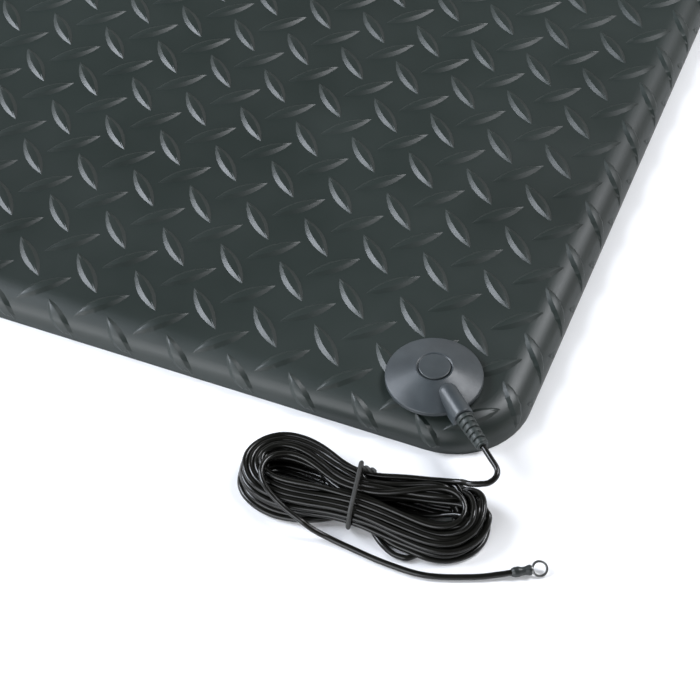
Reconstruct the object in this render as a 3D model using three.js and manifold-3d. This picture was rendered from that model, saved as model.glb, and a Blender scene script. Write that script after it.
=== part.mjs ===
// Anti-static floor mat with its ground cord: a bevelled sheet of conductive rubber, a press stud in
// one corner, the cord's cap snapped onto the stud, and the cord wound into a tied hank on the floor.
// Millimetres, +Z up. The origin is the middle of the mat's underside, +X runs along the long edge,
// and the studded corner is at +X, -Y.
import * as THREE from "three";
import { mergeVertices } from "three/addons/utils/BufferGeometryUtils.js";
import Module from "manifold-3d";

const wasm = await Module();
wasm.setup();

// Clearance that every two touching pieces keep
const gap = 0.3;

// The sheet: plate is its thickness without the raised lugs, which are surface relief
const mat = {
  length: 914.4,
  depth: 609.6,
  plate: 11.5,
  lugHeight: 1.2,
  cornerRadius: 30.5,
  bevelWidth: 12,
  lipHeight: 2,
};

// Where the press stud goes through the mat, measured from its right and front edges
const snapPlace = { fromRight: 36, fromFront: 23.4 };

// The rivet from below, in its recess, and the male stud that it holds on top
const rivet = { headRadius: 7, headThickness: 0.9, barrelRadius: 2, aboveMat: 3.6 };
const rivetRecessDepth = 1.5;
const stud = {
  flangeRadius: 7,
  flangeThickness: 0.8,
  neckRadius: 4.2,
  neckHeight: 1.9,
  headRadius: 5,
  headHeight: 1.9,
};

// The female socket that the cap holds over the stud
const socket = { wall: 1.3, roof: 0.6, aboveFlange: 0.6 };

// The cord's cap: a low cone with an upright rim and a flush disc in its middle
const cap = { radius: 18.5, height: 7, rimHeight: 1.7, wall: 1.8, bossWall: 1.5 };
const plug = { radius: 6, thickness: 1.2 };
const discLand = 0.4;

// The cap's half round boot and the ribbed strain relief that comes out of it, both along the exit
const exitAngle = -42.5;
const boot = { radius: 4, length: 23.5, axisBelowTop: 4 };
const relief = {
  spigotRadius: 2.2,
  spigotLength: 3.4,
  length: 14.8,
  startRadius: 3.3,
  endRadius: 2.5,
  ribs: 6,
  ribShare: 0.7,
  grooveDepth: 0.7,
  boreDepth: 4,
};

// The cord, and its route in the corner's own frame: x and y from the mat's right front corner
const cord = { diameter: 2.2, sides: 8 };
const leadPoints = [
  [-10.05, -0.4, 16.0],
  [-7.4, -2.8, 16.0],
  [-3.2, -6.7, 15.9],
  [0.3, -10.0, 15.6],
  [1.2, -13.0, 15.2],
  [-1.3, -16.6, 14.7],
  [-7.0, -18.6, 14.45],
  [-13.0, -19.6, 14.45],
];
const tailPoints = [
  [-63.2, -49.1, 9.0],
  [-59.6, -50.2, 6.6],
  [-55.8, -51.0, 3.4],
  [-50.3, -50.6, 1.5],
  [-40.6, -51.8, 1.2],
  [-25.6, -53.4, 1.2],
  [-10.6, -53.0, 1.2],
  [4.8, -47.7, 1.2],
  [13.6, -43.3, 1.6],
  [17.3, -41.3, 2.0],
  [19.2, -40.15, 2.0],
];

// The hank: outline of the wound turns in plan, in the same frame, with a waist where it is tied
const hank = { height: 13, edgeRadius: 4.5, waistWidth: 24.4, waistHeight: 9.2, waistRadius: 4.2 };
const hankOutline = [
  [-90.2, -28.3],
  [-88.0, -21.4],
  [-79.2, -17.2],
  [-71.0, -18.6],
  [-59.0, -20.4],
  [-47.0, -22.4],
  [-39.0, -21.6],
  [-31.9, -19.2],
  [-19.2, -16.2],
  [-7.0, -14.2],
  [0.2, -16.6],
  [2.6, -24.0],
  [4.4, -32.0],
  [4.0, -37.0],
  [0.2, -43.2],
  [-5.2, -46.8],
  [-13.2, -48.4],
  [-21.4, -49.6],
  [-27.2, -49.0],
  [-38.2, -46.4],
  [-44.2, -45.6],
  [-54.7, -46.6],
  [-64.0, -48.0],
  [-72.0, -49.0],
  [-79.0, -47.0],
  [-86.4, -39.8],
];

// The tie around the waist
const tie = { x: -45.15, y: -33.7, angle: 11.2, thickness: 1.6, width: 2.4 };

// The end of the cord: an insulating sleeve, then the ring terminal's barrel, neck and eye
const sleeve = { x: 17.3, y: -41.3, z: 2.0, angle: 31.2, radius: 1.9, length: 6.4, spigotLength: 1.6 };
const ring = {
  barrelRadius: 1.55,
  barrelLength: 1.0,
  thickness: 0.8,
  outerRadius: 3.05,
  holeRadius: 2.15,
  neckWidth: 3.0,
  roll: 30,
};

// Heights that follow from the sizes above
const capBase = mat.plate + mat.lugHeight + gap;
const capTop = capBase + cap.height;
const exitHeight = capTop - boot.axisBelowTop;
const plugRecessFloor = capTop - plug.thickness - gap;
const flangeTop = mat.plate + gap + stud.flangeThickness;
const studTop = flangeTop + stud.neckHeight + stud.headHeight;
const socketTop = studTop + gap + socket.roof;
const socketRadius = stud.headRadius + gap + socket.wall;
const cordRadius = cord.diameter / 2;
const cordBore = cordRadius + gap;
const barrelBore = rivet.barrelRadius + gap;

const corner = new THREE.Vector3(mat.length / 2, -mat.depth / 2, 0);
const snapX = corner.x - snapPlace.fromRight;
const snapY = corner.y + snapPlace.fromFront;

// Solids: a closed mesh becomes a solid with its faces outwards, and a solid becomes a mesh again
function solidOf(geometry) {
  const bare = geometry.clone();
  bare.deleteAttribute("normal");
  bare.deleteAttribute("uv");
  const merged = mergeVertices(bare, 1e-4);
  const position = merged.attributes.position;
  const index = merged.index.array;
  const triangles = [];
  let volume = 0;
  const [a, b, c] = [new THREE.Vector3(), new THREE.Vector3(), new THREE.Vector3()];
  for (let i = 0; i < index.length; i += 3) {
    const [p, q, r] = [index[i], index[i + 1], index[i + 2]];
    if (p === q || q === r || r === p) continue;
    triangles.push(p, q, r);
    a.fromBufferAttribute(position, p);
    b.fromBufferAttribute(position, q);
    c.fromBufferAttribute(position, r);
    volume += a.dot(b.cross(c));
  }
  if (volume < 0) triangles.reverse();
  return new wasm.Manifold(
    new wasm.Mesh({
      numProp: 3,
      vertProperties: Float32Array.from(position.array),
      triVerts: Uint32Array.from(triangles),
    }),
  );
}

function meshOf(name, solid, colour, roughness, metalness) {
  const { vertProperties, triVerts } = solid.getMesh();
  const geometry = new THREE.BufferGeometry();
  geometry.setAttribute("position", new THREE.BufferAttribute(vertProperties, 3));
  geometry.setIndex(new THREE.BufferAttribute(triVerts, 1));
  geometry.computeVertexNormals();
  const material = new THREE.MeshStandardMaterial({ color: colour, roughness, metalness });
  const mesh = new THREE.Mesh(geometry, material);
  mesh.name = name;
  return mesh;
}

// Turned about the upright axis: the profile is a list of [radius, height] that ends on the axis
function turned(profile, segments = 48) {
  const points = profile.map(([radius, height]) => new THREE.Vector2(radius, height));
  return solidOf(new THREE.LatheGeometry(points, segments).rotateX(Math.PI / 2));
}

function cylinder(radius, bottom, top, segments = 40) {
  const geometry = new THREE.CylinderGeometry(radius, radius, top - bottom, segments);
  return solidOf(geometry.rotateX(Math.PI / 2).translate(0, 0, (top + bottom) / 2));
}

// A rod along +X from one distance to another, at a height
function rod(radius, from, to, height, segments = 32) {
  const geometry = new THREE.CylinderGeometry(radius, radius, to - from, segments);
  return solidOf(geometry.rotateZ(Math.PI / 2).translate((from + to) / 2, 0, height));
}

function box(sizeX, sizeY, sizeZ, x, y, z) {
  return solidOf(new THREE.BoxGeometry(sizeX, sizeY, sizeZ).translate(x, y, z));
}

function roundedRectangle(length, depth, radius) {
  const [x, y] = [length / 2 - radius, depth / 2 - radius];
  const shape = new THREE.Shape();
  shape.absarc(x, y, radius, 0, Math.PI / 2);
  shape.absarc(-x, y, radius, Math.PI / 2, Math.PI);
  shape.absarc(-x, -y, radius, Math.PI, 1.5 * Math.PI);
  shape.absarc(x, -y, radius, 1.5 * Math.PI, 2 * Math.PI);
  shape.closePath();
  return shape;
}

// A solid tube of the cord's section along a smooth curve through the points
function cordTube(points, steps) {
  const section = new THREE.Shape();
  for (let i = 0; i < cord.sides; i++) {
    const angle = (2 * Math.PI * i) / cord.sides;
    const place = [cordRadius * Math.cos(angle), cordRadius * Math.sin(angle)];
    if (i === 0) section.moveTo(...place);
    else section.lineTo(...place);
  }
  section.closePath();
  const path = new THREE.CatmullRomCurve3(points.map((point) => new THREE.Vector3(...point)));
  return solidOf(new THREE.ExtrudeGeometry(section, { steps, bevelEnabled: false, extrudePath: path }));
}

// The sheet: a rounded rectangle whose edge falls in a quarter ellipse to a thin lip, made twice as
// thick and cut at the floor, with the rivet's hole and its recess below
function makeMat() {
  const outline = roundedRectangle(mat.length, mat.depth, mat.cornerRadius);
  const slab = new THREE.ExtrudeGeometry(outline, {
    depth: 2 * mat.lipHeight,
    bevelThickness: mat.plate - mat.lipHeight,
    bevelSize: mat.bevelWidth,
    bevelOffset: -mat.bevelWidth,
    bevelSegments: 7,
    curveSegments: 9,
  });
  const below = box(mat.length + 1, mat.depth + 1, 2 * mat.plate, 0, 0, -mat.plate);
  const hole = cylinder(barrelBore, -1, mat.plate + 1).translate([snapX, snapY, 0]);
  const recess = cylinder(rivet.headRadius + 2 * gap, -1, rivetRecessDepth).translate([snapX, snapY, 0]);
  return solidOf(slab.translate(0, 0, -mat.lipHeight)).subtract(below).subtract(hole).subtract(recess);
}

// The rivet: head in the recess, clear of the floor, and a barrel up through the mat and the stud
function makeRivet() {
  const headBottom = rivetRecessDepth - gap - rivet.headThickness;
  const headTop = headBottom + rivet.headThickness;
  const head = cylinder(rivet.headRadius, headBottom, headTop);
  return head.add(cylinder(rivet.barrelRadius, headBottom, mat.plate + rivet.aboveMat));
}

// The male stud: a flange on the plate, a neck, and a rounded head that the socket clips over
function makeStud() {
  const headBottom = flangeTop + stud.neckHeight;
  const chamfer = stud.headRadius - stud.neckRadius;
  const body = turned([
    [0, mat.plate + gap],
    [stud.flangeRadius, mat.plate + gap],
    [stud.flangeRadius, flangeTop],
    [stud.neckRadius, flangeTop],
    [stud.neckRadius, headBottom - chamfer / 2],
    [stud.headRadius, headBottom],
    [stud.headRadius, studTop - chamfer],
    [stud.neckRadius, studTop],
    [0, studTop],
  ]);
  return body.subtract(cylinder(barrelBore, mat.plate, studTop - stud.headHeight / 2));
}

// The female socket: a cup, mouth down, clear of the stud's head by the gap
function makeSocket() {
  const bottom = flangeTop + socket.aboveFlange;
  const cup = cylinder(socketRadius, bottom, socketTop);
  return cup.subtract(cylinder(stud.headRadius + gap, bottom - 1, studTop + gap));
}

// The cap: cone, rim and boot in one moulding, hollow below, with a pocket for the socket, a recess
// for the disc and a bore for the strain relief
function makeCap() {
  const discRadius = plug.radius + gap;
  const slope = (cap.height - cap.rimHeight) / (cap.radius - discRadius - discLand);
  const cone = turned([
    [0, capBase],
    [cap.radius, capBase],
    [cap.radius, capBase + cap.rimHeight],
    [discRadius + discLand, capTop],
    [0, capTop],
  ], 72);
  const ridgeLength = boot.length - discRadius;
  const ridgeMiddle = discRadius + ridgeLength / 2;
  const footHeight = exitHeight - capBase;
  const foot = box(ridgeLength, 2 * boot.radius, footHeight, ridgeMiddle, 0, capBase + footHeight / 2);
  const room = box(ridgeLength, 3 * boot.radius, cap.height, ridgeMiddle, 0, capBase + cap.height / 2);
  const ridge = rod(boot.radius, discRadius, boot.length, exitHeight).add(foot).intersect(room);
  const pocketRadius = socketRadius + gap;
  const hollowIn = pocketRadius + cap.bossWall;
  const hollowOut = cap.radius - cap.wall;
  const hollowRise = (hollowOut - hollowIn) * slope;
  const hollow = turned([
    [hollowIn, capBase - 1],
    [hollowOut, capBase - 1],
    [hollowOut, capBase + cap.rimHeight - cap.wall / 2],
    [hollowIn, capBase + cap.rimHeight - cap.wall / 2 + hollowRise],
    [hollowIn, capBase - 1],
  ], 72);
  const pocket = cylinder(pocketRadius, capBase - 1, socketTop + gap);
  const recess = cylinder(discRadius, plugRecessFloor, capTop + 1);
  const boreStart = boot.length - relief.spigotLength - gap;
  const bore = rod(relief.spigotRadius + gap, boreStart, boot.length + 1, exitHeight);
  const shell = cone.subtract(hollow).add(ridge.rotate([0, 0, exitAngle]));
  return shell.subtract(pocket).subtract(recess).subtract(bore.rotate([0, 0, exitAngle]));
}

// The strain relief: a spigot in the boot, then ribs that taper towards the cord, which enters a bore
function makeRelief() {
  const start = boot.length + gap;
  const pitch = relief.length / relief.ribs;
  const taper = relief.startRadius - relief.endRadius;
  const profile = [
    [0, boot.length - relief.spigotLength],
    [relief.spigotRadius, boot.length - relief.spigotLength],
    [relief.spigotRadius, start],
  ];
  for (let i = 0; i < relief.ribs; i++) {
    const near = start + i * pitch;
    const far = near + pitch * relief.ribShare;
    const nearRadius = relief.startRadius - (taper * i) / relief.ribs;
    const farRadius = relief.startRadius - (taper * (i + relief.ribShare)) / relief.ribs;
    profile.push([nearRadius, near], [farRadius, far]);
    profile.push([farRadius - relief.grooveDepth, far], [farRadius - relief.grooveDepth, near + pitch]);
  }
  const end = start + relief.length;
  profile.push([0, end]);
  const points = profile.map(([radius, along]) => new THREE.Vector2(radius, along));
  const ribbed = new THREE.LatheGeometry(points, 32).rotateZ(-Math.PI / 2).translate(0, 0, exitHeight);
  const bore = rod(cordBore, end - relief.boreDepth, end + 1, exitHeight);
  return solidOf(ribbed).subtract(bore).rotate([0, 0, exitAngle]);
}

// The hank: the outer shape of all its turns, with rounded upper and lower edges, cut down to a
// slimmer waist where the tie goes round it
function acrossTie(shape, depth) {
  const angle = THREE.MathUtils.degToRad(tie.angle);
  const along = new THREE.Vector3(Math.cos(angle), Math.sin(angle), 0);
  const across = new THREE.Vector3(-Math.sin(angle), Math.cos(angle), 0);
  const basis = new THREE.Matrix4().makeBasis(across, new THREE.Vector3(0, 0, 1), along);
  basis.setPosition(tie.x, tie.y, hank.height / 2);
  const geometry = new THREE.ExtrudeGeometry(shape, { depth, bevelEnabled: false, curveSegments: 8 });
  return solidOf(geometry.translate(0, 0, -depth / 2).applyMatrix4(basis));
}

function makeHank() {
  const corners = [...hankOutline, hankOutline[0]].map(([x, y]) => new THREE.Vector2(x, y));
  const curve = new THREE.SplineCurve(corners);
  const outline = new THREE.Shape(curve.getPoints(2 * hankOutline.length).slice(0, -1));
  const body = new THREE.ExtrudeGeometry(outline, {
    depth: hank.height - 2 * hank.edgeRadius,
    bevelThickness: hank.edgeRadius,
    bevelSize: hank.edgeRadius,
    bevelOffset: -hank.edgeRadius,
    bevelSegments: 4,
    curveSegments: 1,
  });
  const slotWidth = tie.width + 2 * gap;
  const slot = acrossTie(roundedRectangle(2 * hank.waistWidth, 2 * hank.height, 1), slotWidth);
  const waistShape = roundedRectangle(hank.waistWidth, hank.waistHeight, hank.waistRadius);
  const waist = acrossTie(waistShape, slotWidth + 1);
  return solidOf(body.translate(0, 0, hank.edgeRadius)).subtract(slot).add(waist);
}

// The tie: one closed band around the waist
function makeTie() {
  const grown = (by) => [hank.waistWidth + 2 * by, hank.waistHeight + 2 * by, hank.waistRadius + by];
  const band = roundedRectangle(...grown(gap + tie.thickness));
  band.holes.push(roundedRectangle(...grown(gap)));
  return acrossTie(band, tie.width);
}

// The sleeve: the cord goes in at one end and the terminal's spigot at the other
function makeSleeve() {
  const body = rod(sleeve.radius, 0, sleeve.length, 0);
  return body.subtract(rod(cordBore, -1, sleeve.length + 1, 0));
}

// The ring terminal: spigot and barrel, a flat neck and the eye, turned about its own length
function makeRing() {
  const barrelStart = sleeve.length + gap;
  const barrelEnd = barrelStart + ring.barrelLength;
  const eye = barrelEnd + ring.holeRadius + (ring.outerRadius - ring.holeRadius) / 3;
  const plate = new THREE.Shape().absarc(eye, 0, ring.outerRadius, 0, 2 * Math.PI);
  plate.holes.push(new THREE.Path().absarc(eye, 0, ring.holeRadius, 0, 2 * Math.PI));
  const settings = { depth: ring.thickness, bevelEnabled: false, curveSegments: 24 };
  const flat = new THREE.ExtrudeGeometry(plate, settings);
  const neckLength = eye - ring.holeRadius - barrelStart - gap;
  const neck = box(neckLength, ring.neckWidth, ring.thickness, barrelStart + neckLength / 2, 0, 0);
  return rod(cordRadius, sleeve.length - sleeve.spigotLength, barrelStart + gap, 0)
    .add(rod(ring.barrelRadius, barrelStart, barrelEnd, 0))
    .add(solidOf(flat.translate(0, 0, -ring.thickness / 2)))
    .add(neck)
    .rotate([ring.roll, 0, 0]);
}

function atSleeve(solid) {
  return solid.rotate([0, 0, sleeve.angle]).translate([sleeve.x, sleeve.y, sleeve.z]);
}

// The assembly: the snap's pieces stand in a group at the stud, the cord's in one at the corner
const part = new THREE.Group();
const atSnap = new THREE.Group();
const atCorner = new THREE.Group();
atSnap.position.set(snapX, snapY, 0);
atCorner.position.copy(corner);
part.add(atSnap, atCorner);

part.add(meshOf("mat", makeMat(), 0x383f3f, 0.55, 0));

atSnap.add(meshOf("snap_rivet", makeRivet(), 0xa8a8a4, 0.35, 1));
atSnap.add(meshOf("snap_stud", makeStud(), 0xa8a8a4, 0.3, 1));
atSnap.add(meshOf("snap_socket", makeSocket(), 0xa8a8a4, 0.3, 1));
atSnap.add(meshOf("ground_cap", makeCap(), 0x525659, 0.4, 0));
atSnap.add(meshOf("cap_disc", cylinder(plug.radius, plugRecessFloor + gap, capTop), 0x55595c, 0.35, 0));
atSnap.add(meshOf("strain_relief", makeRelief(), 0x3c4442, 0.5, 0));

atCorner.add(meshOf("cord_lead", cordTube(leadPoints, 18), 0x1a1a17, 0.3, 0));
atCorner.add(meshOf("cord_hank", makeHank(), 0x1a1a17, 0.4, 0));
atCorner.add(meshOf("cord_tie", makeTie(), 0x262624, 0.5, 0));
atCorner.add(meshOf("cord_tail", cordTube(tailPoints, 36), 0x1a1a17, 0.3, 0));
atCorner.add(meshOf("crimp_sleeve", atSleeve(makeSleeve()), 0x2b2f2e, 0.5, 0));
atCorner.add(meshOf("ring_terminal", atSleeve(makeRing()), 0x8c8c8a, 0.3, 1));

export default part;
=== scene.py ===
# Anti-static floor mat with a press stud, its cord's cap, and the ground cord in a tied hank.
# Pieces are modelled in millimetres and scaled to metres as they are finished.
import math
import random

import bmesh
import bpy
import numpy as np
from mathutils import Matrix, Vector


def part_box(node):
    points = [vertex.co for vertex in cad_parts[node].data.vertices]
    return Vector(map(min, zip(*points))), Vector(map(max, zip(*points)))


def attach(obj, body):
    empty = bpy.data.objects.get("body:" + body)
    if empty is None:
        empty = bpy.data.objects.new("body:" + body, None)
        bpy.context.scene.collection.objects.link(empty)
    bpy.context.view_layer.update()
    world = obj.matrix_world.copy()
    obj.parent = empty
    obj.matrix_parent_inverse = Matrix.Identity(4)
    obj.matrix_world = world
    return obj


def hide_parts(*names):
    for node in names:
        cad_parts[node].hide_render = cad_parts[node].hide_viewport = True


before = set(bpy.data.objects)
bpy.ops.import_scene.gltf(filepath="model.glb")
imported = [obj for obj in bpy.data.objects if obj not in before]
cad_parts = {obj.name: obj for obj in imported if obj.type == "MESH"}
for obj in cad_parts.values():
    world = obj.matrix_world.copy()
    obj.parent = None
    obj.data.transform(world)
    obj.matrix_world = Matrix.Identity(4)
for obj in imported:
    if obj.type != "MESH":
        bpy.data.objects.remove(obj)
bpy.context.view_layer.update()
scene = bpy.context.scene
metre = 0.001  # one modelling unit, a millimetre


def nodeBox(name):
    # a CAD node's lowest and highest corners in millimetres
    low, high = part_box(name)
    return low / metre, high / metre


matLow, matHigh = nodeBox("mat")
studLow, studHigh = nodeBox("snap_stud")
capLow, capHigh = nodeBox("ground_cap")
corner = Vector((matHigh.x, matLow.y, 0))
snap = Vector(((studLow.x + studHigh.x) / 2, (studLow.y + studHigh.y) / 2, 0))

# Camera
camera = {
    "location": (0.57523, -0.73355, 0.58802),
    "forward": (-0.2492, 0.5996, -0.7605),
    "right": (0.9273, 0.3741, -0.0089),
    "lens": 102.857, "sensor": 36,
}


def makeCamera():
    data = bpy.data.cameras.new("camera")
    data.lens = camera["lens"]
    data.sensor_width = camera["sensor"]
    data.clip_start = 0.02
    data.clip_end = 50
    back = -Vector(camera["forward"]).normalized()
    right = Vector(camera["right"])
    right = (right - right.dot(back) * back).normalized()
    up = back.cross(right)
    turn = Matrix((right, up, back)).transposed().to_4x4()
    holder = bpy.data.objects.new("camera", data)
    holder.matrix_world = Matrix.Translation(camera["location"]) @ turn
    scene.collection.objects.link(holder)
    scene.camera = holder


makeCamera()
print("camera placed")


# Small tools for meshes
def finishPiece(bm, name, sharpAngle=32, unit=metre):
    # merged, outward, smooth but for its sharp edges, in metres unless told otherwise
    bmesh.ops.remove_doubles(bm, verts=bm.verts, dist=1e-4)
    bmesh.ops.recalc_face_normals(bm, faces=bm.faces)
    limit = math.radians(sharpAngle)
    for face in bm.faces:
        face.smooth = True
    for edge in bm.edges:
        edge.smooth = edge.is_manifold and edge.calc_face_angle() < limit
    bmesh.ops.scale(bm, vec=(unit, unit, unit), verts=bm.verts)
    mesh = bpy.data.meshes.new(name)
    bm.to_mesh(mesh)
    bm.free()
    piece = bpy.data.objects.new(name, mesh)
    scene.collection.objects.link(piece)
    return piece


def applied(piece, sharpAngle=None):
    # the piece with its modifiers applied to its mesh
    graph = bpy.context.evaluated_depsgraph_get()
    mesh = bpy.data.meshes.new_from_object(piece.evaluated_get(graph))
    piece.modifiers.clear()
    old = piece.data
    piece.data = mesh
    mesh.name = piece.name
    bpy.data.meshes.remove(old)
    if sharpAngle is not None:
        mesh.set_sharp_from_angle(angle=math.radians(sharpAngle))
    return piece


def combined(piece, other, operation, sharpAngle=32):
    # piece joined with, or cut by, the other, which is then removed
    boolean = piece.modifiers.new("combine", "BOOLEAN")
    boolean.operation = operation
    boolean.solver = "MANIFOLD"
    boolean.object = other
    bpy.context.view_layer.update()
    applied(piece, sharpAngle)
    bpy.data.objects.remove(other)
    return piece


def rounded(corners, steps=4):
    # a profile of (radius, height) with an arc at each corner that gives a third value, its fillet
    points = []
    for i, point in enumerate(corners):
        here = Vector(point[:2])
        if len(point) < 3:
            points.append(here)
            continue
        before = (Vector(corners[i - 1][:2]) - here).normalized()
        after = (Vector(corners[(i + 1) % len(corners)][:2]) - here).normalized()
        half = before.angle(after) / 2
        centre = here + (before + after).normalized() * point[2] / math.sin(half)
        start = here + before * point[2] / math.tan(half) - centre
        end = here + after * point[2] / math.tan(half) - centre
        sweep = start.angle(end)
        for k in range(steps + 1):
            share = k / steps
            a = math.sin((1 - share) * sweep) / math.sin(sweep)
            b = math.sin(share * sweep) / math.sin(sweep)
            points.append(centre + a * start + b * end)
    return points


def turned(profile, segments, closed=False):
    # a bmesh of the profile spun about the upright axis
    bm = bmesh.new()
    verts = [bm.verts.new((p[0], 0, p[1])) for p in profile]
    pairs = list(zip(verts, verts[1:])) + ([(verts[-1], verts[0])] if closed else [])
    edges = [bm.edges.new(pair) for pair in pairs]
    bmesh.ops.spin(bm, geom=verts + edges, cent=(0, 0, 0), axis=(0, 0, 1), angle=2 * math.pi,
                   steps=segments, use_merge=True, use_duplicate=False)
    bmesh.ops.remove_doubles(bm, verts=bm.verts, dist=1e-4)
    return bm


def moved(bm, matrix):
    bmesh.ops.transform(bm, matrix=matrix, verts=bm.verts)
    return bm


def rod(radius, start, end, segments=32):
    # a cylinder along +Z
    bm = bmesh.new()
    bmesh.ops.create_cone(bm, cap_ends=True, segments=segments, radius1=radius, radius2=radius,
                          depth=end - start)
    bmesh.ops.translate(bm, vec=(0, 0, (start + end) / 2), verts=bm.verts)
    return bm


def block(size, middle):
    bm = bmesh.new()
    bmesh.ops.create_cube(bm, size=1)
    bmesh.ops.scale(bm, vec=size, verts=bm.verts)
    bmesh.ops.translate(bm, vec=middle, verts=bm.verts)
    return bm


alongX = Matrix.Rotation(math.radians(90), 4, "Y")  # turns +Z to +X


# Ground cord: the route of its lead and tail, and the turns of its hank between them, in the
# corner's frame, x and y from the mat's right front corner
cord = {
    "diameter": 2.2,
    "step": 2.4,
    "smoothing": 3,
    "lead": [
        (-10.05, -0.4, 16.0), (-7.4, -2.8, 16.0), (-3.2, -6.7, 15.9), (-0.3, -9.3, 15.7),
        (0.9, -11.1, 15.5), (1.1, -13.4, 15.2), (0.1, -15.5, 14.8), (-1.4, -16.8, 14.5),
        (-6.6, -18.4, 13.6),
    ],
    "tail": [
        (-66.4, -48.0, 10.4), (-62.6, -49.7, 8.4), (-58.4, -50.8, 6.1), (-53.8, -51.2, 3.8),
        (-48.2, -51.2, 2.0), (-40.6, -51.8, 1.2), (-25.6, -53.4, 1.2), (-10.6, -53.0, 1.2),
        (4.8, -47.7, 1.2), (13.6, -43.3, 1.6), (17.3, -41.3, 2.0), (19.2, -40.15, 2.0),
    ],
    "heldPoints": 14,
}
hank = {
    "seed": 3,
    "tieX": -45.15, "tieY": -33.4, "angle": 0.5,
    "layers": [4, 5, 5, 4, 4],  # turns in each layer, from the floor up
    "innerShifts": [5.6, -5.6, 3.2, -3.0, 0.8],  # of each layer's inner turns, across the hank
    "shortTurn": 12,  # folds back in front of the others
    "spacing": 2.5,
    "waistHalfWidth": 10.4, "waistHalfHeight": 4.1, "waistMiddle": 6.8, "waistGrip": 4.0,
    "leastBend": 5.4,
    "top": 12.9,
    "rounds": 110,
    "push": 0.25, "stiffness": 0.35, "easing": 0.6, "pull": 0.25,  # shares taken in each round
    "sag": 0.02, "mostMove": 0.5, "floorGap": 0.05, "tieLean": 0.19,
}


def hankPoint(s, t, z):
    angle = math.radians(hank["angle"])
    x = hank["tieX"] + s * math.cos(angle) - t * math.sin(angle)
    y = hank["tieY"] + s * math.sin(angle) + t * math.cos(angle)
    return (x, y, z)


def woundTurns():
    # sixteen points for each turn: s along the hank from its tie, t across it, z up
    draw = random.Random(hank["seed"])

    def jitter(reach):
        return draw.uniform(-reach, reach)

    layers, shifts = hank["layers"], hank["innerShifts"]
    most = max(layers)
    slots = [(i + (most - n) * 0.5, j) for j, n in enumerate(layers) for i in range(n)]
    slots.sort(key=lambda slot: -slot[0] + jitter(1.4))
    points = []
    for k, (i, j) in enumerate(slots):
        outward = i / (most - 1)
        waist = 1.2 + hank["spacing"] * i
        waistZ = hank["waistMiddle"] - hank["waistHalfHeight"] + 2.05 * j
        leftZ = 1.2 + 2.3 * j
        leftRadius = 6.8 + 7.4 * outward + jitter(0.3)
        leftMiddle = 2.2 + shifts[j] * (1 - outward)
        leftEnd = -31 - (4.6 + 8.2 * outward)
        backZ = 1.6 + 2.5 * j
        frontZ = 1.2 + 1.9 * j
        rightShift = shifts[j] * (1 - outward) * 1.07
        back = 9.8 + 5.8 * outward + rightShift + jitter(0.6)
        front = -3.2 - 8.4 * outward + rightShift + jitter(0.5)
        middle = (back + front) / 2
        rightRadius = (back - front) / 2
        rightEnd = 47.4 - (1 - outward) * 7.0 + jitter(1.6)
        run = [
            (15, -waist / 2 + front / 2 + 0.6, (waistZ + frontZ) / 2),
            (31, front, frontZ + jitter(0.4)),
            (rightEnd - 3.5, middle - 0.68 * rightRadius, frontZ + jitter(0.5)),
            (rightEnd, middle + jitter(1.2), (frontZ + backZ) / 2 + jitter(0.6)),
            (rightEnd - 3.5, middle + 0.74 * rightRadius, backZ + jitter(0.4)),
        ]
        if k == hank["shortTurn"]:
            run = [(10, -12.2, 1.3), (18, -14.9, 1.2), (25.5, -15.0, 1.2), (30.6, -11.2, 1.3),
                   (30.2, -5.2, 1.8), (24.0, -1.6, 2.8), (14, -1.6, 3.4), (6, -1.8, 3.6)]
        turn = [
            (34, back + 0.6, backZ),
            (17, (waist + back) / 2 + 0.6, (waistZ + backZ) / 2),
            (0, waist, waistZ),
            (-14, (waist + leftRadius + leftMiddle) / 2 + 1.0, (waistZ + leftZ) / 2),
            (-27, leftRadius + leftMiddle, leftZ),
            (leftEnd + 0.29 * leftRadius, 0.72 * leftRadius + leftMiddle, leftZ),
            (leftEnd, leftMiddle - 0.5, leftZ + jitter(0.3)),
            (leftEnd + 0.30 * leftRadius, -0.72 * leftRadius + leftMiddle - 0.4, leftZ),
            (-26, -leftRadius + leftMiddle - 0.4, leftZ),
            (-13, -(waist + leftRadius - leftMiddle) / 2 - 0.2, (waistZ + leftZ) / 2),
            (0, -waist, waistZ),
        ]
        if k == hank["shortTurn"] + 1:  # begins at the tie, where the short one ends
            turn = turn[2:]
        points += [hankPoint(*p) for p in turn + run]
    return points


def lastTurns():
    # two small turns on top of the others, the second of which leads into the tail
    places = [
        (34, 9.5, 12.6), (18, 6.0, 12.4), (0, 3.0, 11.0), (-12, 5.8, 12.0), (-23, 9.0, 12.6),
        (-31.6, 8.8, 12.6), (-37, 3.0, 12.4), (-33.6, -3.8, 12.4), (-25, -5.2, 12.4),
        (-12, -3.6, 11.8), (0, -2.8, 11.0), (14, -3.4, 11.4), (29, -4.0, 11.0),
        (37.4, -2.4, 11.0), (41.0, 3.2, 11.2), (37.0, 9.2, 12.2), (27, 9.2, 12.6),
        (13, 4.0, 12.2), (0, 0.8, 11.0), (-11, 2.8, 12.2), (-20, 5.4, 12.8), (-28, 6.0, 13.0),
        (-33.6, 2.8, 13.0), (-34.8, -3.2, 12.8), (-31.4, -9.2, 12.2), (-26.2, -12.8, 11.6),
    ]
    return [hankPoint(*p) for p in places]


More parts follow.
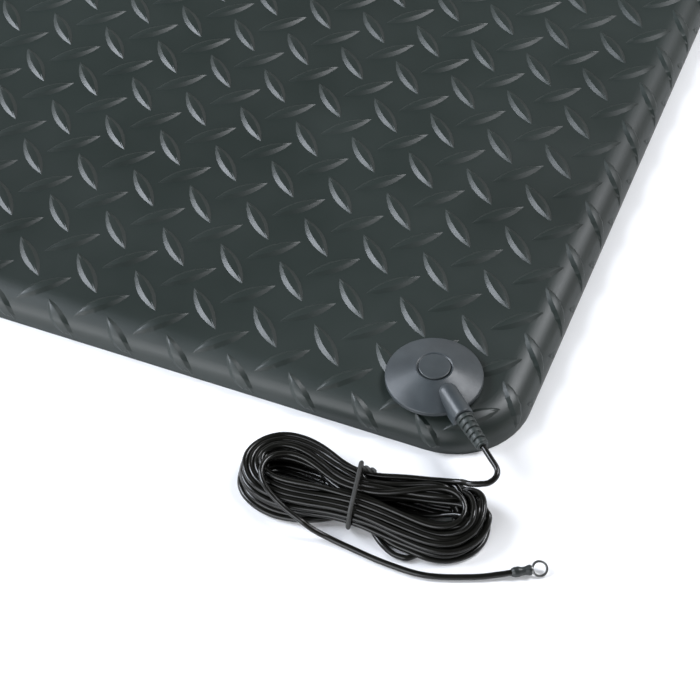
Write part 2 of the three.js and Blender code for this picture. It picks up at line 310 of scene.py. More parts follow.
def smoothLine(points, samples):
    # a Catmull-Rom curve through the points
    p = np.array(points, float)
    start, end = p[:-1], p[1:]
    before, after = np.vstack([p[:1], p[:-2]]), np.vstack([p[2:], p[-1:]])
    u = (np.arange(samples) / samples)[None, :, None]
    a, b, c, d = (q[:, None, :] for q in (before, start, end, after))
    line = b + 0.5 * ((c - a) * u + (2 * a - 5 * b + 4 * c - d) * u ** 2
                      + (3 * b - a - 3 * c + d) * u ** 3)
    return np.vstack([line.reshape(-1, 3), p[-1:]])


def evenSteps(line, step):
    lengths = np.r_[0, np.cumsum(np.linalg.norm(np.diff(line, axis=0), axis=1))]
    places = np.linspace(0, lengths[-1], int(round(lengths[-1] / step)) + 1)
    return np.stack([np.interp(places, lengths, line[:, k]) for k in range(3)], axis=1)


def settled(p, fixed):
    # the turns push each other apart, though where they crowd they still overlap a little; they
    # are about as stiff as the cord and held together at the tie
    p = p.copy()
    diameter = cord["diameter"]
    order = np.arange(len(p))
    apart = np.triu(np.abs(order[:, None] - order[None, :]) > 3)
    rest = np.linalg.norm(np.diff(p, axis=0), axis=1).mean()
    free = (~fixed)[:, None]
    angle = math.radians(hank["angle"])
    for _ in range(hank["rounds"]):
        # strands that overlap push each other apart
        squares = (p ** 2).sum(1)
        gaps = squares[:, None] + squares[None, :] - 2 * p @ p.T
        a, b = np.nonzero((gaps < diameter ** 2) & apart)
        between = p[a] - p[b]
        distance = np.sqrt(np.maximum((between ** 2).sum(1), 1e-6))
        push = (diameter - distance)[:, None] * between / distance[:, None] * hank["push"]
        move = np.zeros_like(p)
        np.add.at(move, a, push)
        np.add.at(move, b, -push)
        # the cord's stiffness evens its bends, and eases those tighter than the least
        bend = np.zeros_like(p)
        bend[1:-1] = (p[:-2] + p[2:]) / 2 - p[1:-1]
        move[2:-2] -= hank["stiffness"] * ((bend[1:-3] + bend[3:-1]) / 2 - bend[2:-2])
        kink = rest ** 2 / (2 * hank["leastBend"]) / np.maximum(np.linalg.norm(bend, axis=1), 1e-9)
        ease = bend * np.maximum(1 - kink, 0)[:, None]
        move += hank["easing"] * ease
        move[:-1] -= hank["easing"] / 2 * ease[1:]
        move[1:] -= hank["easing"] / 2 * ease[:-1]
        move[:, 2] -= hank["sag"]
        move *= free
        size = np.linalg.norm(move, axis=1)
        p += move * np.minimum(1, hank["mostMove"] / np.maximum(size, 1e-9))[:, None]
        # the cord keeps its length
        for _ in range(2):
            links = p[1:] - p[:-1]
            length = np.linalg.norm(links, axis=1)
            pull = ((length - rest) / np.maximum(length, 1e-9))[:, None] * links * hank["pull"]
            p[:-1] += pull * free[:-1]
            p[1:] -= pull * free[1:]
        # it stays on the floor and under the top, and the tie squeezes the waist
        p[:, 2] = np.maximum(p[:, 2], diameter / 2 + hank["floorGap"])
        p[:, 2] = np.where(fixed, p[:, 2], np.minimum(p[:, 2], hank["top"]))
        x, y = p[:, 0] - hank["tieX"], p[:, 1] - hank["tieY"]
        s = x * math.cos(angle) + y * math.sin(angle)
        t = -x * math.sin(angle) + y * math.cos(angle)
        z = p[:, 2] - hank["waistMiddle"]
        grip = np.exp(-((s + t * hank["tieLean"]) / hank["waistGrip"]) ** 2) * ~fixed
        reach = ((t / hank["waistHalfWidth"]) ** 4 + (z / hank["waistHalfHeight"]) ** 4) ** 0.25
        squeeze = np.where(reach > 1, 1 - grip * (1 - 1 / np.maximum(reach, 1e-9)), 1)
        p[:, 2] = hank["waistMiddle"] + z * squeeze
        p[:, 0] -= t * (squeeze - 1) * math.sin(angle)
        p[:, 1] += t * (squeeze - 1) * math.cos(angle)
    return p


def cordRoute():
    points = cord["lead"] + woundTurns() + lastTurns() + cord["tail"]
    line = evenSteps(smoothLine(points, 16), cord["step"])
    fixed = np.zeros(len(line), bool)
    fixed[:cord["heldPoints"]] = True
    landing = np.linalg.norm(line - np.array(cord["tail"][2]), axis=1)
    fixed[int(np.argmin(landing)):] = True
    return smoothLine(settled(line, fixed), cord["smoothing"]) + np.array(corner)


def tubeCurve(name, lines, radius, resolution, cyclic=False, thinned=1.0):
    # one tube for each line, those after the first thinned
    curve = bpy.data.curves.new(name, "CURVE")
    curve.dimensions = "3D"
    curve.bevel_depth = radius * metre
    curve.bevel_resolution = resolution
    curve.use_fill_caps = True
    for line in lines:
        spline = curve.splines.new("POLY")
        spline.points.add(len(line) - 1)
        flat = np.c_[np.array(line) * metre, np.ones(len(line))]
        spline.points.foreach_set("co", flat.ravel())
        share = thinned if len(curve.splines) > 1 else 1.0
        spline.points.foreach_set("radius", [share] * len(line))
        spline.use_smooth = True
    if cyclic:
        curve.splines[0].use_cyclic_u = True
    piece = bpy.data.objects.new(name, curve)
    scene.collection.objects.link(piece)
    return piece


route = cordRoute()
groundCord = tubeCurve("groundCord", [route], cord["diameter"] / 2, 4)


# Tie: a plastic-coated wire round the hank, its ends twisted together on top
tie = {
    "angle": 11.2, "halfWidth": 12.4, "halfHeight": 6.0,
    "wire": 1.7, "twistWire": 1.1,
    "twistStart": 8.9, "twistLength": 6.4, "twistPitch": 4.6, "twistHeight": 12.3,
    "twistDrop": 0.8, "twistSpread": 0.5, "lean": 0.5, "loopPoints": 72, "twistPoints": 32,
}


def makeTie():
    angle = math.radians(tie["angle"])
    along = Vector((math.cos(angle), math.sin(angle), 0))
    across = Vector((-math.sin(angle), math.cos(angle), 0))
    foot = corner + Vector((hank["tieX"], hank["tieY"], 0))
    middle = foot + Vector((0, 0, hank["waistMiddle"]))
    loop = []
    for k in range(tie["loopPoints"]):
        turn = 2 * math.pi * k / tie["loopPoints"]
        c, s = math.cos(turn), math.sin(turn)
        size = (c ** 4 + s ** 4) ** -0.25  # a squared ellipse
        lean = along * tie["lean"] * math.sin(turn)
        loop.append(middle + across * c * size * tie["halfWidth"] + lean
                    + Vector((0, 0, s * size * tie["halfHeight"])))
    start = foot + Vector((0, 0, tie["twistHeight"])) + across * tie["twistStart"]
    lines = [loop]
    for side in (0, math.pi):
        line = []
        for k in range(tie["twistPoints"] + 1):
            share = k / tie["twistPoints"]
            turn = side + 2 * math.pi * share * tie["twistLength"] / tie["twistPitch"]
            radius = tie["twistWire"] / 2
            line.append(start + Vector((share * tie["twistLength"], 0, -tie["twistDrop"] * share))
                        + across * (radius * math.cos(turn) + tie["twistSpread"] * share)
                        + Vector((0, 0, radius * math.sin(turn))))
        lines.append(line)
    thinned = tie["twistWire"] / tie["wire"]
    return tubeCurve("hankTie", lines, tie["wire"] / 2, 3, cyclic=True, thinned=thinned)


hankTie = makeTie()
print("hank tied")


# Mat: a sheet whose edge falls in a quarter ellipse to a thin lip, with lugs on a square lattice
mat = {
    "cornerRadius": 30.5, "cornerSegments": 12,
    "bevelWidth": 12.0, "lipHeight": 2.0, "bevelRings": 16,
    "recessRadius": 7.6, "recessDepth": 1.5, "holeRadius": 2.3, "studLand": 7.4,
}
lug = {
    "pitch": 25.4,
    "length": 24.4, "width": 6.8, "flank": 1.95, "height": 1.25, "crown": 0.1, "sunk": 0.15,
    "alongSegments": 8, "acrossSegments": 4,
    "flankTaper": 0.6,  # how the flanks narrow towards the tips
    "tipCrowding": 0.35, "leastTop": 0.3,
    "overhang": 0.30,  # how far past the lip a lug's centre may be, as a share of its length
    "tuckIn": 1.2, "tuckDown": 1.4,  # how its end turns in under the lip
    "firstX": -4.0, "firstY": -0.56,  # the first lug's centre, from the corner
    "shiftX": 12.5, "shiftY": 12.7,  # from it to its crosswise neighbour
    "fadeStart": 11.0, "fadeEnd": 17.0, "fadeShare": 0.62,
}
matSize = matHigh - matLow
plateTop = matHigh.z
bevelHeight = plateTop - mat["lipHeight"]
coreX = matSize.x / 2 - mat["cornerRadius"]  # half the sheet inside its rounded border
coreY = matSize.y / 2 - mat["cornerRadius"]
flatReach = mat["cornerRadius"] - mat["bevelWidth"]  # the border's flat part


def bevelCurve(samples=240):
    # arc length along the edge's quarter ellipse, against the angle from the flat top
    angles = np.linspace(0, math.pi / 2, samples)
    x, z = mat["bevelWidth"] * np.sin(angles), bevelHeight * np.cos(angles)
    lengths = np.r_[0, np.cumsum(np.hypot(np.diff(x), np.diff(z)))]
    return lengths, angles


bevelLengths, bevelAngles = bevelCurve()
bevelArc = float(bevelLengths[-1])


def plateBody():
    bm = bmesh.new()
    bmesh.ops.create_grid(bm, x_segments=1, y_segments=1, size=0.5)
    bmesh.ops.scale(bm, vec=(matSize.x, matSize.y, 1), verts=bm.verts)
    bmesh.ops.bevel(bm, geom=bm.verts[:], offset=mat["cornerRadius"], affect="VERTICES",
                    segments=mat["cornerSegments"], profile=0.5, material=-1)
    under = bm.faces[:]
    raised = bmesh.ops.extrude_face_region(bm, geom=under, use_keep_orig=True)
    top = [item for item in raised["geom"] if isinstance(item, bmesh.types.BMFace)]
    verts = [item for item in raised["geom"] if isinstance(item, bmesh.types.BMVert)]
    bmesh.ops.translate(bm, vec=(0, 0, mat["lipHeight"]), verts=verts)
    angles = [math.pi / 2 * (1 - k / mat["bevelRings"]) for k in range(mat["bevelRings"] + 1)]
    for low, high in zip(angles, angles[1:]):
        width = mat["bevelWidth"] * (math.sin(low) - math.sin(high))
        rise = bevelHeight * (math.cos(high) - math.cos(low))
        bmesh.ops.inset_region(bm, faces=top, thickness=width, depth=rise,
                               use_boundary=True, use_even_offset=True)
    bmesh.ops.inset_region(bm, faces=top, thickness=0.4, depth=0,
                           use_boundary=True, use_even_offset=True)
    for axis, size in ((Vector((1, 0, 0)), matSize.x), (Vector((0, 1, 0)), matSize.y)):
        count = int(size / 2 / lug["pitch"])
        for k in range(-count, count + 1):  # short faces take the lugs' outlines better
            skin = [face for face in bm.faces if face.calc_center_median().z > 0.01]
            edges = {edge for face in skin for edge in face.edges}
            verts = {vert for face in skin for vert in face.verts}
            bmesh.ops.bisect_plane(bm, geom=skin + list(edges) + list(verts), dist=1e-5,
                                   plane_co=axis * k * lug["pitch"], plane_no=axis)
    return finishPiece(bm, "floorMat", unit=1)


def pastCore(x, y):
    return max(abs(x) - coreX, 0), max(abs(y) - coreY, 0)


def overEdge(x, y, height):
    # the place of a point of the flat pattern once the sheet's surface turns down at its edge
    outX, outY = pastCore(x, y)
    reach = math.hypot(outX, outY)
    past = reach - flatReach
    if past <= 0:
        return Vector((x, y, plateTop + height))
    fade = min(max((past - lug["fadeStart"]) / (lug["fadeEnd"] - lug["fadeStart"]), 0), 1)
    if height > 0:
        height *= 1 - lug["fadeShare"] * fade
    angle = float(np.interp(past, bevelLengths, bevelAngles))
    down = max(past - bevelArc, 0)
    height -= min(down, 1) * lug["tuckIn"]
    normal = Vector((math.sin(angle) / mat["bevelWidth"], math.cos(angle) / bevelHeight)).normalized()
    out = flatReach + mat["bevelWidth"] * math.sin(angle) + height * normal.x
    z = mat["lipHeight"] + bevelHeight * math.cos(angle) + height * normal.y
    direction = Vector((math.copysign(outX, x), math.copysign(outY, y))) / reach
    baseX = math.copysign(min(abs(x), coreX), x)
    baseY = math.copysign(min(abs(y), coreY), y)
    return Vector((baseX + direction.x * out, baseY + direction.y * out, z - min(down, lug["tuckDown"])))


def lugShape():
    # one lug at the origin, its long axis along +X: a pointed lens with even flanks round a top
    # that is a narrower lens
    crowding = lug["tipCrowding"]
    bm = bmesh.new()
    bmesh.ops.create_grid(bm, x_segments=lug["alongSegments"], y_segments=lug["acrossSegments"],
                          size=1)
    for vert in bm.verts:
        u, v = vert.co.x, vert.co.y
        u = math.sin(u * math.pi / 2) * crowding + u * (1 - crowding)  # shorter steps near the tips
        half = (1 - u * u) * lug["width"] / 2
        flank = lug["flank"] * (1 - u * u) ** lug["flankTaper"]
        top = max(half - flank, half * lug["leastTop"])
        y = math.copysign(half if abs(v) > 0.9 else top if abs(v) > 0.1 else 0, v)
        z = lug["height"] / lug["flank"] * min(flank, half - abs(y))
        if abs(v) < 0.1:
            z += lug["crown"] * (1 - u * u)
        vert.co = (u * lug["length"] / 2, y, z - lug["sunk"])
    bmesh.ops.remove_doubles(bm, verts=bm.verts, dist=1e-3)
    rim = [edge for edge in bm.edges if edge.is_boundary]
    bmesh.ops.contextual_create(bm, geom=rim)
    bmesh.ops.recalc_face_normals(bm, faces=bm.faces)
    mesh = bpy.data.meshes.new("lugShape")
    bm.to_mesh(mesh)
    bm.free()
    return mesh


def lugPlaces():
    # centre and direction of every lug whose middle is on the sheet
    startX, startY = corner.x + lug["firstX"], corner.y + lug["firstY"]
    places = []
    for column in range(int(matSize.x / lug["pitch"]) + 2):
        for row in range(-1, int(matSize.y / lug["pitch"]) + 2):
            x, y = startX - column * lug["pitch"], startY + row * lug["pitch"]
            places.append((x, y, 135))
            places.append((x + lug["shiftX"], y + lug["shiftY"], 45))
    spare = bevelArc - mat["bevelWidth"] + lug["overhang"] * lug["length"]
    limitX, limitY = matSize.x / 2 + spare, matSize.y / 2 + spare
    return [spot for spot in places if abs(spot[0]) < limitX and abs(spot[1]) < limitY]


def onSheet(x, y):
    return math.hypot(*pastCore(x, y)) < flatReach + bevelArc + lug["overhang"] * lug["length"]


def makeMat():
    plate = plateBody()
    shape = lugShape()
    bm = bmesh.new()
    count = 0
    for x, y, direction in lugPlaces():
        if not onSheet(x, y):
            continue
        done = len(bm.verts)
        bm.from_mesh(shape)
        bm.verts.ensure_lookup_table()
        angle = math.radians(direction)
        c, s = math.cos(angle), math.sin(angle)
        for vert in bm.verts[done:]:
            u, v, h = vert.co
            vert.co = overEdge(x + u * c - v * s, y + u * s + v * c, h)
        count += 1
    bpy.data.meshes.remove(shape)
    for face in bm.faces:
        face.smooth = True
    mesh = bpy.data.meshes.new("lugs")
    bm.to_mesh(mesh)
    bm.free()
    lugs = bpy.data.objects.new("lugs", mesh)
    scene.collection.objects.link(lugs)
    combined(plate, lugs, "UNION")
    for bm in (rod(mat["recessRadius"], -1, mat["recessDepth"], 48),
               rod(mat["holeRadius"], -1, plateTop + 3, 32),
               rod(mat["studLand"], plateTop - 0.02, plateTop + 3, 48)):
        moved(bm, Matrix.Translation(snap))
        combined(plate, finishPiece(bm, "cutter", unit=1), "DIFFERENCE")
    bm = bmesh.new()
    bm.from_mesh(plate.data)
    bmesh.ops.triangulate(bm, faces=bm.faces, quad_method="BEAUTY", ngon_method="BEAUTY")
    bmesh.ops.scale(bm, vec=(metre, metre, metre), verts=bm.verts)
    bm.to_mesh(plate.data)
    bm.free()
    plate.data.set_sharp_from_angle(angle=math.radians(16))
    for face in plate.data.polygons:
        if abs(face.normal.z) > 0.99999:
            face.use_smooth = False
    print("mat moulded with", count, "lugs,", len(plate.data.polygons), "triangles")
    return plate


floorMat = makeMat()


# Cord's cap: cone, rim and half round boot in one moulding, with a flush disc in a groove
cap = {
    "radius": 18.5, "rimHeight": 1.7, "rimFillet": 0.7, "wall": 1.8,
    "discRadius": 6.0, "groove": 0.15, "grooveDepth": 1.5, "land": 0.8, "edgeDrop": 0.3,
    "pocketRadius": 6.9, "pocketHeight": 4.6, "bossWall": 1.5,
    "exitAngle": -42.5, "bootRadius": 4.0, "bootLength": 23.5, "bootFillet": 0.6,
    "bootStart": 7.0, "boreRadius": 2.5, "boreDepth": 3.7, "segments": 120,
}
capBase, capTop = capLow.z, capHigh.z
exitHeight = capTop - cap["bootRadius"]
atSnap = Matrix.Translation(snap) @ Matrix.Rotation(math.radians(cap["exitAngle"]), 4, "Z")


def makeCap():
    edge = cap["discRadius"] + cap["groove"]
    rimTop = capBase + cap["rimHeight"]
    crown = capTop - cap["edgeDrop"]
    outer = cap["radius"] - cap["wall"]
    inner = cap["pocketRadius"] + cap["bossWall"]
    roof = crown - cap["wall"]
    profile = rounded([
        (0, capBase + cap["pocketHeight"]),
        (cap["pocketRadius"], capBase + cap["pocketHeight"]),
        (cap["pocketRadius"], capBase),
        (inner, capBase),
        (inner, roof - 0.6),
        (outer, rimTop - 0.9),
        (outer, capBase),
        (cap["radius"], capBase, 0.25),
        (cap["radius"], rimTop, cap["rimFillet"]),
        (edge + cap["land"], crown, 0.35),
        (edge, crown - 0.5, 0.08),
        (edge, capTop - cap["grooveDepth"]),
        (0, capTop - cap["grooveDepth"]),
    ], 9)
    body = finishPiece(moved(turned(profile, cap["segments"]), atSnap), "groundCap", 14)
    radius, length = cap["bootRadius"], cap["bootLength"]
    tongue = rounded([(0, cap["bootStart"]), (radius, cap["bootStart"], radius - 0.01),
                      (radius, length, cap["bootFillet"]), (0, length)], 12)
    stand = atSnap @ Matrix.Translation((0, 0, exitHeight)) @ alongX
    combined(body, finishPiece(moved(turned(tongue, 64), stand), "boot"), "UNION", 14)
    start = cap["bootStart"] + 1
    sides = block((length - start, 2 * radius, exitHeight - capBase),
                  ((length + start) / 2, 0, (exitHeight + capBase) / 2))
    far = [edge for edge in sides.edges if all(vert.co.x > length - 0.1 for vert in edge.verts)
           and any(vert.co.z < exitHeight - 0.1 for vert in edge.verts)]
    bmesh.ops.bevel(sides, geom=far, offset=cap["bootFillet"], affect="EDGES", segments=6,
                    profile=0.5, material=-1)
    combined(body, finishPiece(moved(sides, atSnap), "bootSides"), "UNION", 14)
    bore = rod(cap["boreRadius"], cap["bootLength"] - cap["boreDepth"], cap["bootLength"] + 1)
    moved(bore, alongX)
    bmesh.ops.translate(bore, vec=(0, 0, exitHeight), verts=bore.verts)
    return combined(body, finishPiece(moved(bore, atSnap), "bore"), "DIFFERENCE", 14)


def makeDisc():
    floorZ = capTop - cap["grooveDepth"] + 0.3
    profile = rounded([(0, floorZ), (cap["discRadius"], floorZ),
                       (cap["discRadius"], capTop, 0.35), (0, capTop - 0.05)], 8)
    return finishPiece(moved(turned(profile, 96), atSnap), "capDisc", 14)


groundCap = makeCap()
capDisc = makeDisc()
print("cap moulded")

# Strain relief: rings on a tapered core, joined by webs that alternate from gap to gap
relief = {
    "gap": 0.3, "length": 14.8, "startRadius": 3.3, "endRadius": 2.45,
    "ribs": 6, "ribShare": 0.7, "grooveDepth": 0.65, "fillet": 0.26,
    "spigotRadius": 2.2, "spigotLength": 3.4, "bore": 1.25, "boreDepth": 4.0,
    "webWidth": 1.3, "webDrop": 0.25,
}


def makeRelief():
    start = cap["bootLength"] + relief["gap"]
    pitch = relief["length"] / relief["ribs"]
    taper = relief["startRadius"] - relief["endRadius"]
    corners = [(0, start - relief["gap"] - relief["spigotLength"]),
               (relief["spigotRadius"], start - relief["gap"] - relief["spigotLength"]),
               (relief["spigotRadius"], start)]
    webs = []
    for i in range(relief["ribs"]):
        near = start + i * pitch
        far = near + pitch * relief["ribShare"]
        radius = relief["startRadius"] - taper * i / relief["ribs"]
        corners.append((radius, near, relief["fillet"]))
        corners.append((radius - 0.08, far, relief["fillet"]))
        if i < relief["ribs"] - 1:
            core = radius - relief["grooveDepth"]
            corners += [(core, far), (core, near + pitch)]
            webs.append((far, near + pitch, radius - relief["webDrop"]))
    end = start + relief["length"]
    radius = relief["endRadius"] - 0.25
    corners += [(radius, far), (radius, end, 0.3), (relief["bore"], end),
                (relief["bore"], end - relief["boreDepth"]), (0, end - relief["boreDepth"])]
    stand = atSnap @ Matrix.Translation((0, 0, exitHeight)) @ alongX
    body = finishPiece(moved(turned(rounded(corners, 3), 48), stand), "strainRelief")
    for k, (near, far, radius) in enumerate(webs):
        size = (2 * radius, relief["webWidth"], far - near + 0.6)
        web = block(size if k % 2 else (size[1], size[0], size[2]), (0, 0, (near + far) / 2))
        combined(body, finishPiece(moved(web, stand), "web"), "UNION")
    return body


strainRelief = makeRelief()
print("strain relief moulded")

# Sleeve and ring terminal at the cord's end
endFitting = {
    "x": 17.3, "y": -41.3, "z": 2.0, "angle": 31.2,
    "sleeveRadius": 1.9, "sleeveLength": 6.4, "sleeveBore": 1.2, "skirt": 0.65,
    "sleeveWaist": 0.4, "swellStart": 1.1, "swellEnd": 2.5, "waistStart": 3.8, "waistEnd": 5.0,
    "gap": 0.3, "barrelRadius": 1.55, "barrelLength": 1.0,
    "thickness": 0.8, "outerRadius": 3.05, "holeRadius": 2.15, "neckWidth": 3.0, "roll": 30,
    "spigotLength": 1.6, "pinRadius": 1.1,
}
atEnd = (Matrix.Translation(corner + Vector((endFitting["x"], endFitting["y"], endFitting["z"])))
         @ Matrix.Rotation(math.radians(endFitting["angle"]), 4, "Z"))


def makeSleeve():
    f = endFitting
    radius, bore, length = f["sleeveRadius"], f["sleeveBore"], f["sleeveLength"]
    end, inside = length + f["skirt"], f["barrelRadius"] + 0.08
    waist = radius - f["sleeveWaist"]
    corners = [(bore, 0), (radius - 0.5, 0, 0.15), (radius - 0.05, f["swellStart"], 0.7),
               (radius, f["swellEnd"], 0.7), (waist, f["waistStart"], 0.8),
               (waist, f["waistEnd"], 0.8), (radius, end - 0.8, 0.4), (radius, end, 0.12),
               (inside, end), (inside, length + 0.2), (bore, length + 0.2)]
    bm = moved(turned(rounded(corners), 48, closed=True), atEnd @ alongX)
    return finishPiece(bm, "crimpSleeve", 50)


def makeRing():
    f = endFitting
    start = f["sleeveLength"] + f["gap"]
    end = start + f["barrelLength"]
    eye = end + f["holeRadius"] + (f["outerRadius"] - f["holeRadius"]) / 3
    half = f["thickness"] / 2
    stand = atEnd @ Matrix.Rotation(math.radians(f["roll"]), 4, "X")
    section = rounded([(f["holeRadius"], -half, 0.2), (f["outerRadius"], -half, 0.25),
                       (f["outerRadius"], half, 0.25), (f["holeRadius"], half, 0.2)], 3)
    band = turned(section, 72, closed=True)
    bmesh.ops.translate(band, vec=(eye, 0, 0), verts=band.verts)
    body = finishPiece(moved(band, stand), "ringTerminal")
    neckEnd = eye - f["holeRadius"] - 0.12
    neck = block((neckEnd - start - 0.1, f["neckWidth"], f["thickness"]),
                 ((neckEnd + start + 0.1) / 2, 0, 0))
    combined(body, finishPiece(moved(neck, stand), "neck"), "UNION")
    radius = f["barrelRadius"]
    spigotEnd = f["sleeveLength"] - f["spigotLength"]
    corners = [(0, spigotEnd), (f["pinRadius"], spigotEnd), (f["pinRadius"], start),
               (radius, start, 0.15), (radius, end, 0.2), (0, end)]
    barrel = moved(turned(rounded(corners, 3), 40), alongX)
    return combined(body, finishPiece(moved(barrel, stand), "barrel"), "UNION")


crimpSleeve = makeSleeve()
ringTerminal = makeRing()
print("ring terminal crimped")

# Floor
floor = {"size": 12.0}


def makeFloor():
    bm = bmesh.new()
    bmesh.ops.create_grid(bm, x_segments=1, y_segments=1, size=floor["size"] / 2)
    mesh = bpy.data.meshes.new("studioFloor")
    bm.to_mesh(mesh)
    bm.free()
    piece = bpy.data.objects.new("studioFloor", mesh)
    scene.collection.objects.link(piece)
    return piece


studioFloor = makeFloor()


# Materials
def linear(colour):
    # an sRGB hex value as linear red, green, blue and alpha
    channels = [int(colour[k:k + 2], 16) / 255 for k in (0, 2, 4)]
    return [c / 12.92 if c <= 0.04045 else ((c + 0.055) / 1.055) ** 2.4 for c in channels] + [1]


def addNode(tree, kind, inputs, **settings):
    node = tree.nodes.new(kind)
    for name, value in settings.items():
        setattr(node, name, value)
    for name, value in inputs.items():
        if isinstance(value, bpy.types.NodeSocket):
            tree.links.new(value, node.inputs[name])
        else:
            node.inputs[name].default_value = value
    return node


def surface(name, **fixed):
    # an empty material with a Principled shader, and Object coordinates for its patterns
    material = bpy.data.materials.new(name)
    material.use_nodes = True
    tree = material.node_tree
    tree.nodes.clear()
    shader = addNode(tree, "ShaderNodeBsdfPrincipled", fixed)
    addNode(tree, "ShaderNodeOutputMaterial", {"Surface": shader.outputs["BSDF"]})
    place = addNode(tree, "ShaderNodeTexCoord", {}).outputs["Object"]
    return material, tree, shader, place


def perMetre(sizeMm):
    return 1000 / sizeMm  # a texture scale from a real size in millimetres


def mixed(tree, factor, first, second):
    node = addNode(tree, "ShaderNodeMix", {0: factor, 6: first, 7: second}, data_type="RGBA")
    return node.outputs[2]


def ranged(tree, value, low, high, fromLow=0.0, fromHigh=1.0):
    node = addNode(tree, "ShaderNodeMapRange", {"Value": value, "From Min": fromLow,
                                                "From Max": fromHigh, "To Min": low, "To Max": high})
    return node.outputs["Result"]


def noise(tree, place, sizeMm, detail=3.0):
    node = addNode(tree, "ShaderNodeTexNoise", {"Vector": place, "Scale": perMetre(sizeMm),
                                                "Detail": detail})
    return node.outputs["Fac"]


def bumped(tree, shader, height, distanceMm, strength=1.0):
    node = addNode(tree, "ShaderNodeBump", {"Height": height, "Distance": distanceMm * metre,
                                            "Strength": strength})
    tree.links.new(node.outputs["Normal"], shader.inputs["Normal"])


def spongeRubber():
    # moulded rubber skin from a polished steel mould: satin, with a faint grain and slight bloom
    material, tree, shader, place = surface("mouldedSpongeRubber", IOR=1.52)
    bloom = noise(tree, place, 140, 4)
    colour = mixed(tree, ranged(tree, bloom, 0, 1, 0.35, 0.65), linear("19211e"), linear("1d2623"))
    tree.links.new(colour, shader.inputs["Base Color"])
    grain = noise(tree, place, 0.8, 2)
    rough = ranged(tree, noise(tree, place, 35, 3), 0.40, 0.47, 0.3, 0.7)
    tree.links.new(rough, shader.inputs["Roughness"])
    bumped(tree, shader, grain, 0.03, 0.6)
    return material


def capPlastic(name, dark, light):
    # injection moulded PVC with a fine spark-eroded texture: soft wide highlights
    material, tree, shader, place = surface(name, IOR=1.5)
    tone = noise(tree, place, 9, 4)
    colour = mixed(tree, ranged(tree, tone, 0, 1, 0.3, 0.7), linear(dark), linear(light))
    tree.links.new(colour, shader.inputs["Base Color"])
    rough = ranged(tree, noise(tree, place, 4, 3), 0.35, 0.42, 0.3, 0.7)
    tree.links.new(rough, shader.inputs["Roughness"])
    bumped(tree, shader, noise(tree, place, 0.5, 2), 0.03, 0.8)
    return material


def softPlastic(name, dark, light, roughness):
    # flexible PVC: duller than the cap, slightly mottled
    material, tree, shader, place = surface(name, IOR=1.5)
    tone = noise(tree, place, 3, 3)
    colour = mixed(tree, ranged(tree, tone, 0, 1, 0.3, 0.7), linear(dark), linear(light))
    tree.links.new(colour, shader.inputs["Base Color"])
    rough = ranged(tree, noise(tree, place, 1.5, 2), roughness - 0.05, roughness + 0.05)
    tree.links.new(rough, shader.inputs["Roughness"])
    bumped(tree, shader, noise(tree, place, 0.5, 2), 0.03, 0.6)
    return material


def jacketPlastic():
    # extruded PVC jacket: a wet-looking black with slightly uneven gloss along it
    material, tree, shader, place = surface("extrudedJacket", IOR=1.42)
    tone = noise(tree, place, 12, 2)
    colour = mixed(tree, tone, linear("0c0c0a"), linear("151512"))
    tree.links.new(colour, shader.inputs["Base Color"])
    rough = ranged(tree, noise(tree, place, 6, 3), 0.16, 0.26, 0.3, 0.7)
    tree.links.new(rough, shader.inputs["Roughness"])
    bumped(tree, shader, noise(tree, place, 2.5, 2), 0.04, 0.5)
    return material


def platedMetal(name, dark, light, roughness):
    # plated sheet metal: fine rolling marks and a slightly cloudy gloss
    material, tree, shader, place = surface(name, Metallic=1.0)
    tone = noise(tree, place, 1.2, 4)
    colour = mixed(tree, ranged(tree, tone, 0, 1, 0.3, 0.7), linear(dark), linear(light))
    tree.links.new(colour, shader.inputs["Base Color"])
    rough = ranged(tree, noise(tree, place, 0.6, 2), roughness - 0.06, roughness + 0.06)
    tree.links.new(rough, shader.inputs["Roughness"])
    bumped(tree, shader, noise(tree, place, 0.25, 2), 0.01, 0.5)
    return material


def paleFloor():
    # matt white board
    material, tree, shader, place = surface("whiteBoard", Roughness=0.7)
    colour = mixed(tree, noise(tree, place, 300, 2), linear("f4f4f4"), linear("fafafa"))
    tree.links.new(colour, shader.inputs["Base Color"])
    return material


def dress(piece, material):
    piece.data.materials.clear()
    piece.data.materials.append(material)


rubber = spongeRubber()
nickel = platedMetal("nickelPlate", "b4b2ac", "c8c6c0", 0.28)
jacket = jacketPlastic()
dress(floorMat, rubber)
dress(groundCap, capPlastic("mouldedCapPlastic", "32373a", "3a4043"))
dress(capDisc, capPlastic("mouldedDiscPlastic", "363b3d", "3e4345"))
dress(strainRelief, softPlastic("softReliefPlastic", "202725", "2a312f", 0.5))
dress(groundCord, jacket)
dress(hankTie, softPlastic("coatedTieWire", "262624", "323230", 0.6))
dress(crimpSleeve, softPlastic("shrunkSleeve", "1e2221", "2a2e2d", 0.4))
dress(ringTerminal, platedMetal("tinnedCopper", "8a8b8a", "a6a7a6", 0.3))
dress(studioFloor, paleFloor())
for name in ("snap_rivet", "snap_stud", "snap_socket"):
    dress(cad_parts[name], nickel)
print("materials made")

# Light: a large soft key from the left, a second from the right and back, and two soft ones in front
lights = {
    "keySoftbox": {"direction": (-0.77, -0.18, 0.60), "distance": 1.7, "size": (0.85, 0.75),
                   "radiance": 17, "colour": "eef4ff"},
    "backSoftbox": {"direction": (0.45, 0.40, 0.80), "distance": 1.6, "size": (0.6, 0.55),
                    "radiance": 18, "colour": "f8faff"},
    "frontSoftbox": {"direction": (-0.20, -0.80, 0.56), "distance": 1.8, "size": (1.5, 0.7),
                     "radiance": 3.2, "colour": "f6f9ff"},
    "frontLowSoftbox": {"direction": (-0.30, -0.92, 0.26), "distance": 1.8, "size": (1.4, 0.5),
                        "radiance": 5.5, "colour": "f6f9ff"},
}
lightTarget = Vector((0.32, -0.12, 0))
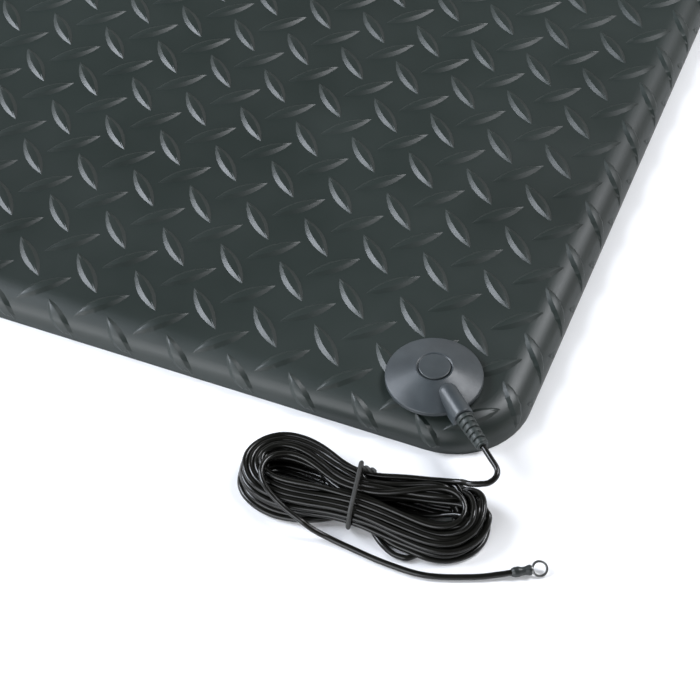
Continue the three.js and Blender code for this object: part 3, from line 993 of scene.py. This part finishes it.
# grey levels of the studio round the mat, by height: the sine of the elevation, then the level
studio = [(-1.0, 1.0), (0.0, 1.0), (0.3, 0.5), (0.55, 0.15), (0.76, 0.04), (1.0, 0.03)]


def makeLights():
    for name, light in lights.items():
        width, height = light["size"]
        data = bpy.data.lights.new(name, "AREA")
        data.shape = "RECTANGLE"
        data.size, data.size_y = width, height
        data.energy = light["radiance"] * math.pi * width * height
        data.color = linear(light["colour"])[:3]
        direction = Vector(light["direction"]).normalized()
        holder = bpy.data.objects.new(name, data)
        holder.location = lightTarget + direction * light["distance"]
        holder.rotation_euler = direction.to_track_quat("Z", "Y").to_euler()
        scene.collection.objects.link(holder)


def makeStudio():
    world = bpy.data.worlds.new("studio")
    scene.world = world
    world.use_nodes = True
    tree = world.node_tree
    tree.nodes.clear()
    direction = addNode(tree, "ShaderNodeTexCoord", {}).outputs["Generated"]
    height = addNode(tree, "ShaderNodeSeparateXYZ", {"Vector": direction}).outputs["Z"]
    share = ranged(tree, height, 0, 1, -1, 1)
    ramp = addNode(tree, "ShaderNodeValToRGB", {"Fac": share})
    steps = ramp.color_ramp.elements
    while len(steps) < len(studio):
        steps.new(0.5)
    for step, (level, grey) in zip(steps, studio):
        step.position = (level + 1) / 2
        step.color = (grey, grey, grey, 1)
    background = addNode(tree, "ShaderNodeBackground", {"Color": ramp.outputs["Color"],
                                                        "Strength": 1.0})
    addNode(tree, "ShaderNodeOutputWorld", {"Surface": background.outputs["Background"]})


makeLights()
makeStudio()
scene.view_settings.view_transform = "Standard"
scene.view_settings.look = "None"
print("studio lit")

# What each piece stands for, and what it rides on
for piece, slot, nodes in (
    (floorMat, "mat_rubber", ["mat"]),
    (groundCap, "cap_plastic", ["ground_cap"]),
    (capDisc, "disc_plastic", ["cap_disc"]),
    (strainRelief, "relief_plastic", ["strain_relief"]),
    (groundCord, "cord_jacket", ["cord_lead", "cord_hank", "cord_tail"]),
    (hankTie, "tie_plastic", ["cord_tie"]),
    (crimpSleeve, "sleeve_plastic", ["crimp_sleeve"]),
    (ringTerminal, "tinned_copper", ["ring_terminal"]),
):
    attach(piece, "root")
    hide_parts(*nodes)

bpy.context.view_layer.update()
